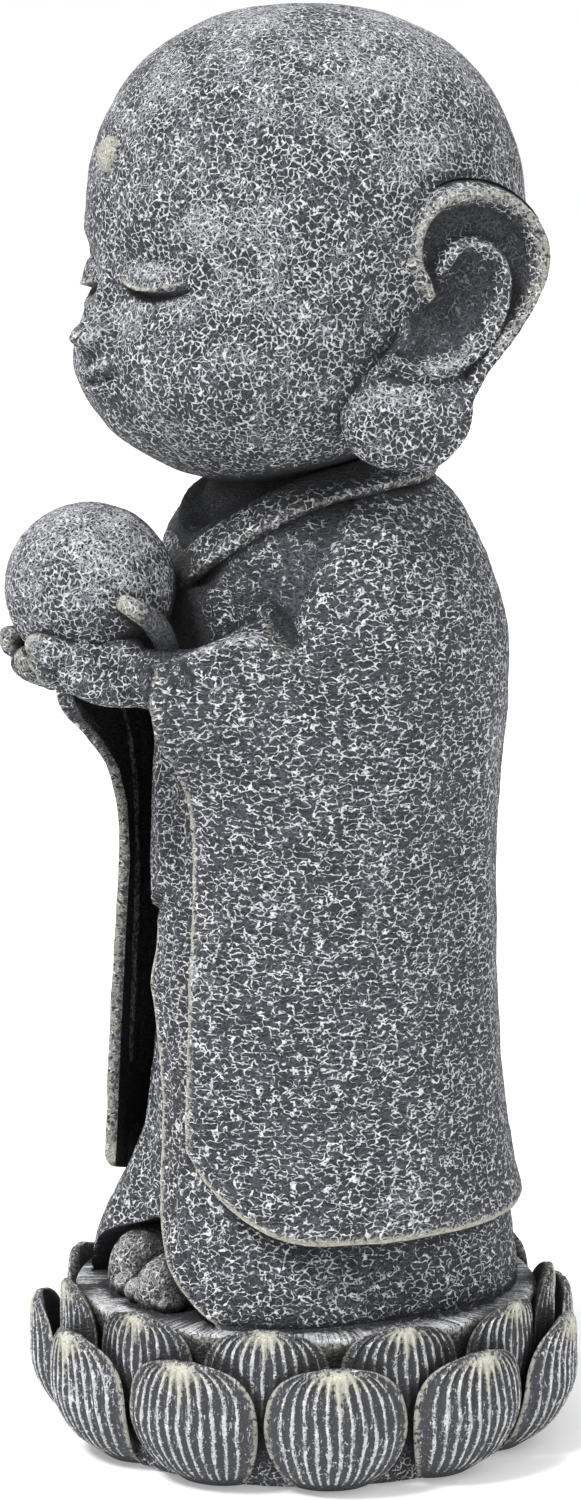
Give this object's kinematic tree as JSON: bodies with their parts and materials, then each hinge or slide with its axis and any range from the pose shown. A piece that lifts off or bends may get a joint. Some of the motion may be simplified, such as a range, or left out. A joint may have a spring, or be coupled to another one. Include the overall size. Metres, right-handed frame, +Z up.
{
  "type": "garden statue",
  "caption": "Cast stone jizo statue of a small robed monk with long ears, holding a ball in both hands on a lotus base.",
  "frame": {"origin": "middle of the lotus base's underside, on the ground", "axes": "+Z up, the figure looks along -Y and its left hand is at +X"},
  "size_m": [0.1566, 0.1666, 0.3997],
  "materials": {
    "cast_stone": "dark blue-grey cast stone with a crackled skin, dry-brushed pale grey, cream on edges and petal tips"
  },
  "bodies": {
    "root": {"jizo_statue": "cast_stone"}
  },
  "joints": []
}
